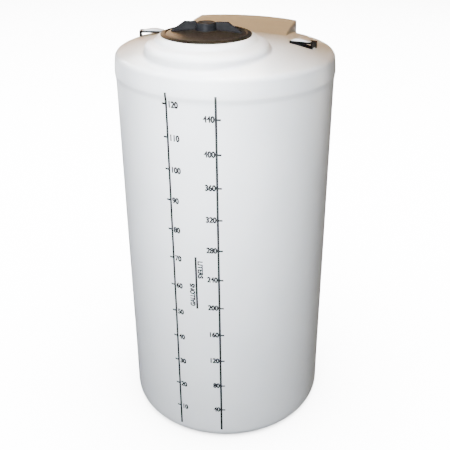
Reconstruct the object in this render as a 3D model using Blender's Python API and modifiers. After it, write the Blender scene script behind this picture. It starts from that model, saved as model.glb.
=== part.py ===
"""Upright plastic storage tank, 0.711 m (28 in) across and 1.426 m (56 in) tall.

A thin moulded shell: a floor with a rounded base rim, a round wall in eight panels, a domed
roof in eight sectors, a raised drum with a manway neck at the front of the roof, a raised
platform at its back, two slotted tie-down lugs, and a black lid with two grips and a vent cap.
The origin is on the floor at the middle of the tank. The front, where the scale is, faces -Y.
"""

import math

import bmesh
import bpy
from mathutils import Matrix

# Wall, in metres
WALL_RADIUS = 0.3525
WALL_THICKNESS = 0.006
PANELS = 8
PANEL_STEPS = 8
GAP = 0.0003
MERGE = 0.00005

# Base
BASE_CORNER_RADIUS = 0.035
BASE_RIM_TOP = 0.060
BASE_ARC_STEPS = 5
BASE_FLAT = 0.006

# Roof
ROOF_RADIUS = 0.3555
SKIRT_BOTTOM = 1.250
SKIRT_TOP = 1.302
SHOULDER_RADIUS = 0.022
SHOULDER_SLOPE = math.radians(19)
SHOULDER_STEPS = 4
DOME_TOP = 1.3615
DOME_CURVE = 0.294
DOME_RIM_RADIUS = 0.280
DOME_INNER_RADIUS = 0.050
DOME_STEPS = 7
STRIP_RADIUS = 0.200
STRIP_STEPS = 3

# Manway: a raised drum, and a neck on it that the lid closes. The drum reaches further forwards
MANWAY_CENTRE = (-0.027, -0.115)
DRUM_CENTRE = (-0.017, -0.133)
DRUM_RADIUS = 0.192
DRUM_INNER_RADIUS = 0.100
DRUM_EDGE_RADIUS = 0.022
DRUM_TOP = 1.371
DRUM_BOTTOM = 1.320
DRUM_EDGE_STEPS = 5
NECK_OUTER_RADIUS = 0.157
NECK_TOP_RADIUS = 0.142
NECK_INNER_RADIUS = 0.1285
NECK_TOP = 1.388
NECK_SHOULDER_DROP = 0.008
NECK_SHOULDER_STEP = 0.005
ROUND_STEPS = 64

# Platform at the back of the roof
PLATFORM_HALF_WIDTH = 0.176
PLATFORM_BACK_RADIUS = 0.340
PLATFORM_TOP = 1.3665
PLATFORM_FRONT_TOP_Y = 0.195
PLATFORM_FRONT_FOOT = 1.3555
PLATFORM_FRONT_FOOT_Y = 0.100
PLATFORM_BACK_FOOT = 1.318
PLATFORM_SIDE_FOOT = 1.320
PLATFORM_BACK_STEPS = 12

# Tie-down lugs: a hood over a strap slot that is taller at its outer end
LUG_CENTRES = {"left": (-0.277, 0.058), "right": (0.252, 0.016)}
LUG_TURN = math.radians(15)
HOOD_SIZE = (0.053, 0.021, 0.029)
HOOD_SINK = 0.004
SLOT_ENDS = (-0.040, 0.034)
SLOT_HEIGHTS = (0.0052, 0.0178)
SLOT_SINK = 0.001
LIP_THICKNESS = 0.0026
LIP_DEPTH = 0.006
LIP_FRONT = 0.019
SLOT_REACH = 0.100
HOOD_SEGMENTS = 32
HOOD_RINGS = 16

# Lid: crowned towards the vent cap in its middle, with two upright grips
LID_RADIUS = 0.139
LID_BOTTOM = NECK_TOP + GAP
LID_TOP = 1.4025
LID_SEAT_RADIUS = 0.036
LID_CROWN_RADIUS = 0.122
LID_CROWN_FOOT = 1.3930
LID_RIM_RADIUS = 0.127
LID_RIM_TOP = 1.3938
LID_EDGE_TOP = 1.3912
LID_SKIRT_RADIUS = 0.1235
LID_SKIRT_BOTTOM = 1.372
LID_PLATE = 0.007
CAP_RADIUS = 0.032
CAP_EDGE = 0.003
CAP_TOP = 1.424
GRIP_ANGLE = math.radians(8)
GRIP_TOP = 1.426
GRIP_SHOULDER_RADIUS = 0.067
GRIP_END_RADIUS = 0.109
GRIP_END_HEIGHT = 0.003
GRIP_THICKNESS = 0.010

# Finishes
MILKY = (0.86, 0.87, 0.86)
MILKY_ROUGHNESS = 0.42
BLACK = (0.03, 0.026, 0.024)
BLACK_ROUGHNESS = 0.38
SHARP_ANGLE = math.radians(30)

PANEL_NAMES = (
    ("right", 0),
    ("back_right", 45),
    ("back", 90),
    ("back_left", 135),
    ("left", 180),
    ("front_left", 225),
    ("front", 270),
    ("front_right", 315),
)


def clear_scene():
    """Starts from an empty scene."""
    for thing in list(bpy.data.objects):
        bpy.data.objects.remove(thing)


def new_collection(name):
    """A collection linked to the scene."""
    made = bpy.data.collections.new(name)
    bpy.context.scene.collection.children.link(made)
    return made


def new_material(name, colour, roughness):
    """A plain plastic finish."""
    made = bpy.data.materials.new(name)
    made.use_nodes = True
    shader = made.node_tree.nodes["Principled BSDF"]
    shader.inputs["Base Color"].default_value = (*colour, 1)
    shader.inputs["Roughness"].default_value = roughness
    shader.inputs["Metallic"].default_value = 0
    return made


def place(name, mesh, colour, roughness):
    """Links a mesh as one named part with a finish of its own."""
    part = bpy.data.objects.new(name, mesh)
    PARTS.objects.link(part)
    mesh.materials.append(new_material(name, colour, roughness))
    return part


def place_white(name, mesh):
    """A part in the tank's milky plastic."""
    return place(name, mesh, MILKY, MILKY_ROUGHNESS)


def place_black(name, mesh):
    """A part in black plastic."""
    return place(name, mesh, BLACK, BLACK_ROUGHNESS)


def as_cutter(name, mesh):
    """Links a mesh as a guide that only cuts."""
    cutter = bpy.data.objects.new(name, mesh)
    CUTTERS.objects.link(cutter)
    cutter.hide_render = True
    cutter.display_type = "WIRE"
    return cutter


def cut(part, cutter):
    """Cuts a part with a closed cutter."""
    made = part.modifiers.new(cutter.name, "BOOLEAN")
    made.operation = "DIFFERENCE"
    made.solver = "EXACT"
    made.object = cutter


def shade_round(mesh):
    """Smooth shading with sharp edges kept."""
    mesh.shade_smooth()
    mesh.set_sharp_from_angle(angle=SHARP_ANGLE)


def profile_mesh(name, points):
    """An open line of (radius, height) points in the XZ plane."""
    mesh = bpy.data.meshes.new(name)
    edges = [(i, i + 1) for i in range(len(points) - 1)]
    mesh.from_pydata([(r, 0, z) for r, z in points], edges, [])
    return mesh


def arc(centre, radius, start, end, steps):
    """Points on an arc in a profile; angles in radians from the outward direction, up is positive."""
    made = []
    for i in range(steps + 1):
        angle = start + (end - start) * i / steps
        made.append((centre[0] + radius * math.cos(angle), centre[1] + radius * math.sin(angle)))
    return made


def turn(part, steps):
    """Turns a profile once about Z."""
    screw = part.modifiers.new("turn", "SCREW")
    screw.axis = "Z"
    screw.angle = 2 * math.pi
    screw.steps = steps
    screw.render_steps = steps
    screw.use_merge_vertices = True
    screw.merge_threshold = MERGE
    screw.use_smooth_shade = True


def thickened(points):
    """Closes an outer profile line with the same line moved inwards by the wall's thickness."""
    inner = []
    for i, (radius, height) in enumerate(points):
        before = points[max(i - 1, 0)]
        after = points[min(i + 1, len(points) - 1)]
        into = unit(radius - before[0], height - before[1]) if i else None
        out = unit(after[0] - radius, after[1] - height) if i < len(points) - 1 else None
        into = into or out
        out = out or into
        along = unit(into[0] + out[0], into[1] + out[1])
        reach = WALL_THICKNESS / (along[0] * out[0] + along[1] * out[1])
        inner.append((radius + along[1] * reach, height - along[0] * reach))
    return [*points, *reversed(inner)]


def unit(x, y):
    """A direction of length one."""
    length = math.hypot(x, y)
    return (x / length, y / length)


def swept_panel(name, outer_line, centre_degrees, sweep, steps):
    """A part of a round shell: the thickened profile, spun about Z through the sweep."""
    made = bmesh.new()
    corners = [made.verts.new((r, 0, z)) for r, z in thickened(outer_line)]
    face = made.faces.new(corners)
    bmesh.ops.spin(
        made,
        geom=[*made.verts, *made.edges, face],
        axis=(0, 0, 1),
        cent=(0, 0, 0),
        angle=sweep,
        steps=steps,
    )
    bmesh.ops.recalc_face_normals(made, faces=made.faces)
    mesh = bpy.data.meshes.new(name)
    made.to_mesh(mesh)
    made.free()
    shade_round(mesh)
    part = place_white(name, mesh)
    part.rotation_euler.z = math.radians(centre_degrees) - sweep / 2
    return part


def shell_panel(name, points, centre_degrees):
    """One of the eight panels of the round shell, from its outer profile."""
    sweep = 2 * math.pi / PANELS - GAP / (WALL_RADIUS - WALL_THICKNESS)
    return swept_panel(name, points, centre_degrees, sweep, PANEL_STEPS)


def turned_part(name, points, maker, centre=MANWAY_CENTRE):
    """A fully turned part about an upright centre line."""
    part = maker(name, profile_mesh(name, points))
    turn(part, ROUND_STEPS)
    part.location.x, part.location.y = centre
    return part


def closed(points):
    """Closes a profile ring by repeating its first point."""
    return [*points, points[0]]


def outline_mesh(name, rings, thickness):
    """Flat closed rings of (x, y) points, the first one solid and the next ones holes in it,
    given a thickness about Z = 0, as a mesh."""
    curve = bpy.data.curves.new(name, "CURVE")
    curve.dimensions = "2D"
    curve.fill_mode = "BOTH"
    curve.extrude = thickness / 2
    for ring in rings:
        spline = curve.splines.new("POLY")
        spline.points.add(len(ring) - 1)
        for point, (x, y) in zip(spline.points, ring):
            point.co = (x, y, 0, 1)
        spline.use_cyclic_u = True
    holder = bpy.data.objects.new(name + "_outline", curve)
    CUTTERS.objects.link(holder)
    bpy.context.view_layer.update()
    graph = bpy.context.evaluated_depsgraph_get()
    mesh = bpy.data.meshes.new_from_object(holder.evaluated_get(graph))
    mesh.name = name
    bpy.data.objects.remove(holder)
    made = bmesh.new()
    made.from_mesh(mesh)
    bmesh.ops.remove_doubles(made, verts=made.verts, dist=MERGE)
    bmesh.ops.recalc_face_normals(made, faces=made.faces)
    made.to_mesh(mesh)
    made.free()
    mesh.materials.clear()
    return mesh


def plan_solid(name, points, low, high):
    """A prism over a plan outline, between two heights."""
    mesh = outline_mesh(name, [points], high - low)
    mesh.transform(Matrix.Translation((0, 0, (low + high) / 2)))
    return mesh


def floor_plate():
    """The flat floor inside the base rim."""
    radius = WALL_RADIUS - BASE_CORNER_RADIUS - BASE_FLAT - GAP
    bpy.ops.mesh.primitive_cylinder_add(
        vertices=PANELS * PANEL_STEPS,
        radius=radius,
        depth=WALL_THICKNESS,
        location=(0, 0, WALL_THICKNESS / 2),
    )
    part = bpy.context.object
    mesh = part.data
    mesh.transform(part.matrix_world)
    bpy.data.objects.remove(part)
    place_white("floor_plate", mesh)


def base_rim():
    """The rounded bottom corner, in eight panels."""
    corner = (WALL_RADIUS - BASE_CORNER_RADIUS, BASE_CORNER_RADIUS)
    points = [(WALL_RADIUS, BASE_RIM_TOP)]
    points += arc(corner, BASE_CORNER_RADIUS, 0, -math.pi / 2, BASE_ARC_STEPS)
    points.append((corner[0] - BASE_FLAT, 0))
    for side, degrees in PANEL_NAMES:
        shell_panel("base_rim_" + side, points, degrees)


def wall():
    """The straight round wall, in eight panels."""
    points = [(WALL_RADIUS, SKIRT_BOTTOM - GAP), (WALL_RADIUS, BASE_RIM_TOP + GAP)]
    for side, degrees in PANEL_NAMES:
        shell_panel("wall_" + side, points, degrees)


def roof_rim():
    """The outer part of the roof's line: the rounded shoulder and the skirt under it."""
    shoulder = arc(
        (ROOF_RADIUS - SHOULDER_RADIUS, SKIRT_TOP),
        SHOULDER_RADIUS,
        math.pi / 2 - SHOULDER_SLOPE,
        0,
        SHOULDER_STEPS,
    )
    return [*shoulder, (ROOF_RADIUS, SKIRT_BOTTOM)]


def roof_height(radius):
    """Height of the domed roof's outer surface inside the shoulder, which it meets without a bend."""
    end_radius, end_height = roof_rim()[0]
    drop = DOME_TOP - DOME_CURVE * end_radius**2 - end_height
    past_rim = max(0, radius - DOME_RIM_RADIUS) / (end_radius - DOME_RIM_RADIUS)
    return DOME_TOP - DOME_CURVE * radius**2 - drop * past_rim**2


def dome_line(end_radius, steps):
    """The dome's line from its inner radius outwards, without its last point."""
    made = []
    for i in range(steps):
        radius = DOME_INNER_RADIUS + (end_radius - DOME_INNER_RADIUS) * i / steps
        made.append((radius, roof_height(radius)))
    return made


def roof_profile():
    """The roof's outer line: the dome and the rim."""
    rim = roof_rim()
    return [*dome_line(rim[0][0], DOME_STEPS), *rim]


def platform_outline(grow=0.0):
    """The platform's plan: straight front and sides, and a back that follows the tank."""
    half = PLATFORM_HALF_WIDTH + grow
    radius = PLATFORM_BACK_RADIUS + grow
    reach = math.asin(half / radius)
    back = []
    for i in range(PLATFORM_BACK_STEPS + 1):
        angle = reach - 2 * reach * i / PLATFORM_BACK_STEPS
        back.append((radius * math.sin(angle), radius * math.cos(angle)))
    front = PLATFORM_FRONT_FOOT_Y - grow
    return [(-half, front), (half, front), *back]


def roof():
    """The roof in eight sectors, open where the drum and the platform stand.

    The back sector is only the rim behind the platform. A strip of deck closes the space between
    the platform and the drum.
    """
    drum_hole = turned_cutter("drum_hole", DRUM_RADIUS + GAP, DRUM_CENTRE)
    platform_hole = as_cutter(
        "platform_hole", plan_solid("platform_hole", platform_outline(GAP), SKIRT_BOTTOM, GRIP_TOP)
    )
    for side, degrees in PANEL_NAMES:
        if side == "back":
            part = shell_panel("roof_back", roof_rim(), degrees)
        else:
            part = shell_panel("roof_" + side, roof_profile(), degrees)
            cut(part, drum_hole)
        if "back" in side:
            cut(part, platform_hole)
    part = shell_panel("deck_back", dome_line(STRIP_RADIUS, STRIP_STEPS), 90)
    cut(part, drum_hole)
    cut(part, platform_hole)


def turned_cutter(name, radius, centre):
    """A tall upright cylinder."""
    bpy.ops.mesh.primitive_cylinder_add(
        vertices=ROUND_STEPS,
        radius=radius,
        depth=GRIP_TOP - SKIRT_BOTTOM,
        location=(*centre, (GRIP_TOP + SKIRT_BOTTOM) / 2),
    )
    made = bpy.context.object
    mesh = made.data
    mesh.transform(made.matrix_world)
    bpy.data.objects.remove(made)
    return as_cutter(name, mesh)


def manway_drum():
    """The raised drum: its side and its rounded top, open under the neck."""
    edge = arc(
        (DRUM_RADIUS - DRUM_EDGE_RADIUS, DRUM_TOP - DRUM_EDGE_RADIUS),
        DRUM_EDGE_RADIUS,
        math.pi / 2,
        0,
        DRUM_EDGE_STEPS,
    )
    points = thickened([(DRUM_INNER_RADIUS, DRUM_TOP), *edge, (DRUM_RADIUS, DRUM_BOTTOM)])
    part = turned_part("manway_drum", closed(points), place_white, DRUM_CENTRE)
    cut(part, turned_cutter("throat_hole", NECK_INNER_RADIUS, MANWAY_CENTRE))


def manway_neck():
    """The neck that the lid closes, wider at its foot."""
    points = [
        (NECK_INNER_RADIUS, NECK_TOP),
        (NECK_TOP_RADIUS, NECK_TOP),
        (NECK_OUTER_RADIUS - NECK_SHOULDER_STEP, NECK_TOP - NECK_SHOULDER_DROP),
        (NECK_OUTER_RADIUS, DRUM_TOP + GAP),
        (NECK_INNER_RADIUS, DRUM_TOP + GAP),
    ]
    turned_part("manway_neck", closed(points), place_white)


def side_plate(name, x):
    """One side of the platform, as a plate in the YZ plane."""
    back_y = math.sqrt((PLATFORM_BACK_RADIUS - WALL_THICKNESS - GAP) ** 2 - PLATFORM_HALF_WIDTH**2)
    top = PLATFORM_TOP - WALL_THICKNESS - GAP
    points = [
        (PLATFORM_FRONT_FOOT_Y, PLATFORM_SIDE_FOOT),
        (back_y, PLATFORM_SIDE_FOOT),
        (back_y, top),
        (PLATFORM_FRONT_TOP_Y, top),
        (PLATFORM_FRONT_FOOT_Y, PLATFORM_FRONT_FOOT - WALL_THICKNESS),
    ]
    part = place_white(name, outline_mesh(name, [points], WALL_THICKNESS))
    part.rotation_euler = (math.pi / 2, 0, math.pi / 2)
    part.location.x = x


def platform():
    """The raised platform: top, sloping front, two sides and a back."""
    outline = platform_outline()
    top_outline = [(x, max(y, PLATFORM_FRONT_TOP_Y)) for x, y in outline]
    place_white(
        "platform_top",
        plan_solid("platform_top", top_outline, PLATFORM_TOP - WALL_THICKNESS, PLATFORM_TOP),
    )
    side_x = PLATFORM_HALF_WIDTH - WALL_THICKNESS / 2
    side_plate("platform_left", -side_x)
    side_plate("platform_right", side_x)
    platform_front()
    platform_back()


def platform_front():
    """The gentle front ramp up to the platform's top, as a plate across the width."""
    foot = (PLATFORM_FRONT_FOOT_Y, PLATFORM_FRONT_FOOT)
    head = (PLATFORM_FRONT_TOP_Y - GAP, PLATFORM_TOP)
    points = [
        foot,
        (foot[0], foot[1] - WALL_THICKNESS + GAP),
        (head[0], head[1] - WALL_THICKNESS + GAP),
        head,
    ]
    mesh = outline_mesh("platform_front", [points], 2 * PLATFORM_HALF_WIDTH)
    part = place_white("platform_front", mesh)
    part.rotation_euler = (math.pi / 2, 0, math.pi / 2)


def platform_back():
    """The back of the platform, which follows the tank's round wall."""
    reach = math.asin(PLATFORM_HALF_WIDTH / PLATFORM_BACK_RADIUS)
    points = [
        (PLATFORM_BACK_RADIUS, PLATFORM_TOP - WALL_THICKNESS - GAP),
        (PLATFORM_BACK_RADIUS, PLATFORM_BACK_FOOT),
    ]
    swept_panel("platform_back", points, 90, 2 * reach, PLATFORM_BACK_STEPS)


def slot_outline(centre, yaw, grow):
    """The strap slot's outline seen from the front: its foot on the roof, and taller outwards."""
    outwards = math.copysign(1, centre[0])
    inner, outer = SLOT_ENDS
    ground = []
    for along in (inner, 0, outer):
        x = centre[0] + outwards * along * math.cos(yaw)
        y = centre[1] + outwards * along * math.sin(yaw)
        ground.append(roof_height(math.hypot(x, y)))
    foot = SLOT_SINK + grow
    points = [
        (inner - grow, ground[0] - foot),
        (0, ground[1] - foot),
        (outer + grow, ground[2] - foot),
        (outer + grow, ground[2] + SLOT_HEIGHTS[1] + grow),
        (inner - grow, ground[0] + SLOT_HEIGHTS[0] + grow),
    ]
    return [(outwards * along, height) for along, height in points]


def hood_mesh(name):
    """An ellipsoid of the hood's half sizes."""
    bpy.ops.mesh.primitive_uv_sphere_add(segments=HOOD_SEGMENTS, ring_count=HOOD_RINGS, radius=1)
    ball = bpy.context.object
    mesh = ball.data
    mesh.name = name
    bpy.data.objects.remove(ball)
    mesh.transform(Matrix.Diagonal((*HOOD_SIZE, 1)))
    shade_round(mesh)
    return mesh


def lug(side, roof_form):
    """A tie-down lug: a moulded hood over a strap slot, with a black lip round the slot's mouth."""
    x, y = centre = LUG_CENTRES[side]
    yaw = -math.copysign(LUG_TURN, x)
    hood = place_white("lug_hood_" + side, hood_mesh("lug_hood_" + side))
    hood.location = (x, y, roof_height(math.hypot(x, y)) - HOOD_SINK)
    hood.rotation_euler.z = yaw
    cut(hood, roof_form)

    slot_points = slot_outline(centre, yaw, GAP)
    slot = as_cutter("lug_slot_" + side, outline_mesh("lug_slot_" + side, [slot_points], SLOT_REACH))
    slot.location = (x, y, 0)
    slot.rotation_euler = (math.pi / 2, 0, yaw)
    cut(hood, slot)

    rings = [slot_outline(centre, yaw, 0), slot_outline(centre, yaw, -LIP_THICKNESS)]
    lip = place_black("lug_lip_" + side, outline_mesh("lug_lip_" + side, rings, LIP_DEPTH))
    forwards = LIP_FRONT - LIP_DEPTH / 2
    lip.location = (x + forwards * math.sin(yaw), y - forwards * math.cos(yaw), 0)
    lip.rotation_euler = (math.pi / 2, 0, yaw)
    cut(lip, roof_form)


def lugs():
    """Both tie-down lugs, seated on the roof's slope."""
    over_roof = [(r + GAP, z + GAP) for r, z in roof_profile()[1:]]
    line = [(0, DOME_TOP + GAP), *over_roof, (0, SKIRT_BOTTOM)]
    roof_form = as_cutter("roof_form", profile_mesh("roof_form", line))
    turn(roof_form, PANELS * PANEL_STEPS)
    roof_form.rotation_euler.z = math.pi / PANELS
    for side in LUG_CENTRES:
        lug(side, roof_form)


def crown_height(radius):
    """Height of the lid's top: level under the vent cap, then falling evenly towards the rim."""
    out = max(0, radius - LID_SEAT_RADIUS) / (LID_CROWN_RADIUS - LID_SEAT_RADIUS)
    return LID_TOP + (LID_CROWN_FOOT - LID_TOP) * out


def lid():
    """The lid: a crowned plate with a raised rim, and a skirt inside the neck."""
    skirt_inner = LID_SKIRT_RADIUS - WALL_THICKNESS
    points = [
        (0, LID_TOP),
        (LID_SEAT_RADIUS, LID_TOP),
        (LID_CROWN_RADIUS, LID_CROWN_FOOT),
        (LID_RIM_RADIUS, LID_RIM_TOP),
        (LID_RADIUS, LID_EDGE_TOP),
        (LID_RADIUS, LID_BOTTOM),
        (LID_SKIRT_RADIUS, LID_BOTTOM),
        (LID_SKIRT_RADIUS, LID_SKIRT_BOTTOM),
        (skirt_inner, LID_SKIRT_BOTTOM),
        (skirt_inner, crown_height(skirt_inner) - LID_PLATE),
        (LID_SEAT_RADIUS, LID_TOP - LID_PLATE),
        (0, LID_TOP - LID_PLATE),
    ]
    turned_part("lid_plate", points, place_black)


def vent_cap():
    """The round vent cap in the middle of the lid."""
    low = LID_TOP + GAP
    points = [
        (0, CAP_TOP),
        (CAP_RADIUS - CAP_EDGE, CAP_TOP),
        (CAP_RADIUS, CAP_TOP - CAP_EDGE),
        (CAP_RADIUS, low),
        (0, low),
    ]
    turned_part("vent_cap", points, place_black)


def grip(side, direction):
    """An upright grip plate between the vent cap and the lid's rim, which stands on the crown."""
    end_foot = crown_height(GRIP_END_RADIUS) + GAP
    points = [
        (CAP_RADIUS + GAP, LID_TOP + GAP),
        (LID_SEAT_RADIUS, LID_TOP + GAP),
        (GRIP_END_RADIUS, end_foot),
        (GRIP_END_RADIUS, end_foot + GRIP_END_HEIGHT),
        (GRIP_SHOULDER_RADIUS, GRIP_TOP),
        (CAP_RADIUS + GAP, GRIP_TOP),
    ]
    part = place_black("grip_" + side, outline_mesh("grip_" + side, [points], GRIP_THICKNESS))
    part.rotation_euler = (math.pi / 2, 0, GRIP_ANGLE + direction)
    part.location.x, part.location.y = MANWAY_CENTRE


def build():
    """Makes every part of the tank."""
    floor_plate()
    base_rim()
    wall()
    roof()
    platform()
    manway_drum()
    manway_neck()
    lugs()
    lid()
    vent_cap()
    grip("left", math.pi)
    grip("right", 0)


clear_scene()
PARTS = new_collection("storage_tank")
CUTTERS = new_collection("cutters")
build()
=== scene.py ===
import math

import bmesh
import bpy
from mathutils import Matrix, Vector, noise


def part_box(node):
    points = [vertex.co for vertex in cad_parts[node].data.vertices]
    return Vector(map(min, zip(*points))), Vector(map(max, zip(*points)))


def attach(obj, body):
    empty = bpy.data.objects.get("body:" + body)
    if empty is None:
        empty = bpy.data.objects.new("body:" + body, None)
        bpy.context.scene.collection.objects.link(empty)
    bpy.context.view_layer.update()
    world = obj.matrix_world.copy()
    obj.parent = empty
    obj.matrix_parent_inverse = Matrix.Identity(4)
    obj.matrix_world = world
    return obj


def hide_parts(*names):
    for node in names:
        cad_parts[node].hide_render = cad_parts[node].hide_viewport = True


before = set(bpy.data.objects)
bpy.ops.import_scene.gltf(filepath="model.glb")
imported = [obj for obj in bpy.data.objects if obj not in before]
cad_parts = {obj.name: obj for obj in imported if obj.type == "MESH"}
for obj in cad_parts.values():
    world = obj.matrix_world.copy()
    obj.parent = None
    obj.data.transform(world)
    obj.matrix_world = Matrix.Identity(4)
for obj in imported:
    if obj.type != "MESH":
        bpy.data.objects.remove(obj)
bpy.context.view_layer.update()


# Helpers for points and values. Lengths are in metres, and +Z is up.


def up(height):
    """An upright vector."""
    return Vector((0, 0, height))


def heading(angle):
    """The level direction at an angle from +X, in radians."""
    return Vector((math.cos(angle), math.sin(angle), 0))


def plan_middle(box):
    """The middle of a box in plan, at height 0."""
    low, high = box
    return Vector(((low.x + high.x) / 2, (low.y + high.y) / 2, 0))


def clamped(value):
    """A value kept between 0 and 1."""
    return max(0, min(1, value))


def spaced(start, end, count):
    """The values from start to end that lie count equal steps apart, both ends included."""
    return [start + (end - start) * k / count for k in range(count + 1)]


def curve_point(start, bend, end, share):
    """A point on the curve from start to end that is drawn towards bend."""
    return start * (1 - share) ** 2 + bend * (2 * share * (1 - share)) + end * share**2


def soft_min(a, b, blend):
    """The lower of two values, with a rounded change between them."""
    share = clamped(0.5 + 0.5 * (b - a) / blend)
    return b + (a - b) * share - blend * share * (1 - share)


def rounded(corners, steps=4):
    """A line through (radius, height, cut) corners, each rounded off over its cut length."""
    line = [corners[0][:2]]
    for before, here, after in zip(corners, corners[1:], corners[2:]):
        p, q, r = (Vector(c[:2]) for c in (before, here, after))
        start = q + (p - q).normalized() * here[2]
        end = q + (r - q).normalized() * here[2]
        line += [tuple(curve_point(start, q, end, share)) for share in spaced(0, 1, steps)]
    line.append(corners[-1][:2])
    return line


def arc(centre, radius, start, end, steps):
    """(radius, height) points on an arc; degrees from the outward direction, up is positive."""
    angles = [math.radians(degrees) for degrees in spaced(start, end, steps)]
    return [(centre[0] + radius * math.cos(a), centre[1] + radius * math.sin(a)) for a in angles]


def about(centre, away, line):
    """The points of a (radius, height) profile about an upright centre line, in one direction."""
    return [centre + away * r + up(z) for r, z in line]


# Sizes read from the frame

WALL_RADIUS = -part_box("wall_front")[0].y
ROOF_RADIUS = -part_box("roof_front")[0].y
BAND_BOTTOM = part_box("roof_front")[0].z
DRUM_LOW, DRUM_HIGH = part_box("manway_drum")
DRUM = plan_middle(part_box("manway_drum"))
DRUM_RADIUS = (DRUM_HIGH.x - DRUM_LOW.x) / 2
DRUM_TOP = DRUM_HIGH.z
NECK_LOW, NECK_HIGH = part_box("manway_neck")
MANWAY = plan_middle(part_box("manway_neck"))
NECK_RADIUS = (NECK_HIGH.x - NECK_LOW.x) / 2
NECK_TOP = NECK_HIGH.z
LID_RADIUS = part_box("lid_plate")[1].x - MANWAY.x
LID_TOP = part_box("lid_plate")[1].z
LID_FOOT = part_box("lid_plate")[0].z
CAP_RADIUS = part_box("vent_cap")[1].x - MANWAY.x
CAP_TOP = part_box("vent_cap")[1].z
PLATFORM_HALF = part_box("platform_top")[1].x
PLATFORM_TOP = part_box("platform_top")[1].z
PLATFORM_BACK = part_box("platform_top")[1].y
PLATFORM_RAMP_TOP_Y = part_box("platform_top")[0].y
PLATFORM_FOOT_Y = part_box("platform_front")[0].y

# The floor: its underside is a hair off the ground. FLOOR_EDGE is the inset and the height of the
# underside's last ring before the rounded corner.
THICKNESS = 0.006
UNDERSIDE = 0.001
FLOOR_RINGS = (0.08, 0.20)
FLOOR_EDGE = (0.02, 0.0008)
BASE_CORNER = 0.035

# The band above the wall, the rounded shoulder, and the dome, whose curve is steeper past its rim.
# INNER_BAND gives heights from the band's foot: the two ends of the step inside it, and the wall's
# first row below.
BAND_SWELL = 0.012
BAND_TAPER = 0.0035
SKIRT_TOP = 1.302
SHOULDER = 0.022
SHOULDER_SLOPE = math.radians(19)
DOME_TOP = 1.3615
DOME_CURVE = 0.294
DOME_RIM = 0.280
INNER_BAND = (0.004, -0.006, -0.02)

# How far the wall dips in and how closely its dips follow each other. They fade in above the first
# height of RIPPLE_LOW and out below the first drop of RIPPLE_HIGH, over the second length of each.
RIPPLE = 0.0007
RIPPLE_AROUND = 1.6
RIPPLE_UP = 2.2
RIPPLE_LOW = (0.06, 0.1)
RIPPLE_HIGH = (0.01, 0.05)

# The drum's rounded edge, its fillet on the roof, and the neck's bore and flared foot
DRUM_EDGE = 0.022
DRUM_FILLET = 0.009
FILLET_PASSES = 5
SLOPE_REACH = 0.004
NECK_BORE = 0.1285
NECK_FOOT = 0.0055

# How finely the moulding is divided
COLUMNS = 288
BASE_STEPS = 10
WALL_ROWS = 36
SWELL_ROWS = 10
BAND_ROWS = 5
SHOULDER_STEPS = 10
ROOF_ROWS = 24
FILLET_STEPS = 7
DRUM_ROWS = 16
INNER_SHOULDER_STEPS = 6
INNER_WALL_ROWS = 14
INNER_BASE_STEPS = 8
INNER_DRUM_STEPS = 6
INNER_ROOF_ROWS = 8

BROW_RADIUS = ROOF_RADIUS - BAND_TAPER
SHOULDER_CENTRE = (BROW_RADIUS - SHOULDER, SKIRT_TOP)
SHOULDER_START = BROW_RADIUS - SHOULDER + SHOULDER * math.sin(SHOULDER_SLOPE)
SHOULDER_HEIGHT = SKIRT_TOP + SHOULDER * math.cos(SHOULDER_SLOPE)
BASE_CENTRE = (WALL_RADIUS - BASE_CORNER, BASE_CORNER)
DRUM_EDGE_CENTRE = (DRUM_RADIUS - DRUM_EDGE, DRUM_TOP - DRUM_EDGE)


# Helpers for meshes


def mesh_object(name, points, faces):
    """A named object of these points and faces, shaded smooth, with its faces turned outwards."""
    mesh = bpy.data.meshes.new(name)
    mesh.from_pydata([tuple(p) for p in points], [], faces)
    mesh.validate()
    made = bmesh.new()
    made.from_mesh(mesh)
    bmesh.ops.recalc_face_normals(made, faces=made.faces)
    made.to_mesh(mesh)
    made.free()
    mesh.shade_smooth()
    piece = bpy.data.objects.new(name, mesh)
    bpy.context.scene.collection.objects.link(piece)
    return piece


def merge_points(piece):
    """Joins points that share a place, where an edge has faded to nothing."""
    made = bmesh.new()
    made.from_mesh(piece.data)
    bmesh.ops.remove_doubles(made, verts=made.verts, dist=0.00001)
    bmesh.ops.recalc_face_normals(made, faces=made.faces)
    made.to_mesh(piece.data)
    made.free()


def column_faces(columns, rows):
    """Faces of a closed round body: two pole points, then columns of points from pole to pole."""
    faces = []
    for i in range(columns):
        here = 2 + i * rows
        there = 2 + (i + 1) % columns * rows
        faces.append((0, here, there))
        faces += [(here + k, here + k + 1, there + k + 1, there + k) for k in range(rows - 1)]
        faces.append((1, there + rows - 1, here + rows - 1))
    return faces


def turned(name, line, steps):
    """A round piece on the manway's centre line, from a profile that starts and ends on the axis."""
    inner = line[1:-1]
    points = [MANWAY + up(line[0][1]), MANWAY + up(line[-1][1])]
    for i in range(steps):
        points += about(MANWAY, heading(2 * math.pi * i / steps), inner)
    return mesh_object(name, points, column_faces(steps, len(inner)))


def ring(name, line, steps):
    """A closed ring on the manway's centre line, from a closed profile."""
    points, faces = [], []
    count = len(line)
    for i in range(steps):
        points += about(MANWAY, heading(2 * math.pi * i / steps), line)
        here, there = i * count, (i + 1) % steps * count
        for k in range(count):
            following = (k + 1) % count
            faces.append((here + k, here + following, there + following, there + k))
    return mesh_object(name, points, faces)


def wrap_faces(count):
    """Faces round a drawn-out outline of this many corners, between its two ends."""
    return [(i, (i + 1) % count, (i + 1) % count + count, i + count) for i in range(count)]


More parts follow.
